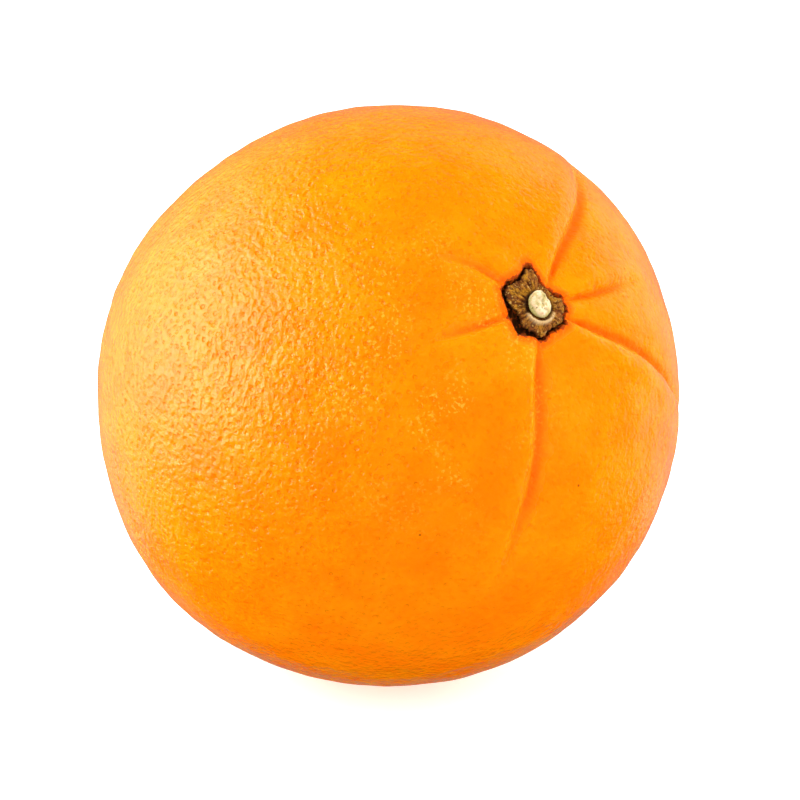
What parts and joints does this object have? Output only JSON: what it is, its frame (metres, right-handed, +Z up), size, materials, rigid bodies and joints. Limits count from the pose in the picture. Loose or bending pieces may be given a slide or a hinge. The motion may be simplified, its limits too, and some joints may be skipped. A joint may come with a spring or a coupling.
{
  "type": "orange",
  "caption": "Whole ripe orange lying on its side, its pitted peel creased round the stem end, with a dried calyx and the pale stub of the cut stem.",
  "frame": {"origin": "the middle of the small flat spot that the fruit rests on", "axes": "+Z up, and the stem end leans up and towards -Y"},
  "size_m": [0.079, 0.0809, 0.0794],
  "materials": {
    "peel": "waxy",
    "dried_calyx": "dry",
    "cut_stem": "dry"
  },
  "bodies": {
    "root": {"fruit": "peel", "calyx": "dried_calyx", "stem_stub": "cut_stem"}
  },
  "joints": []
}
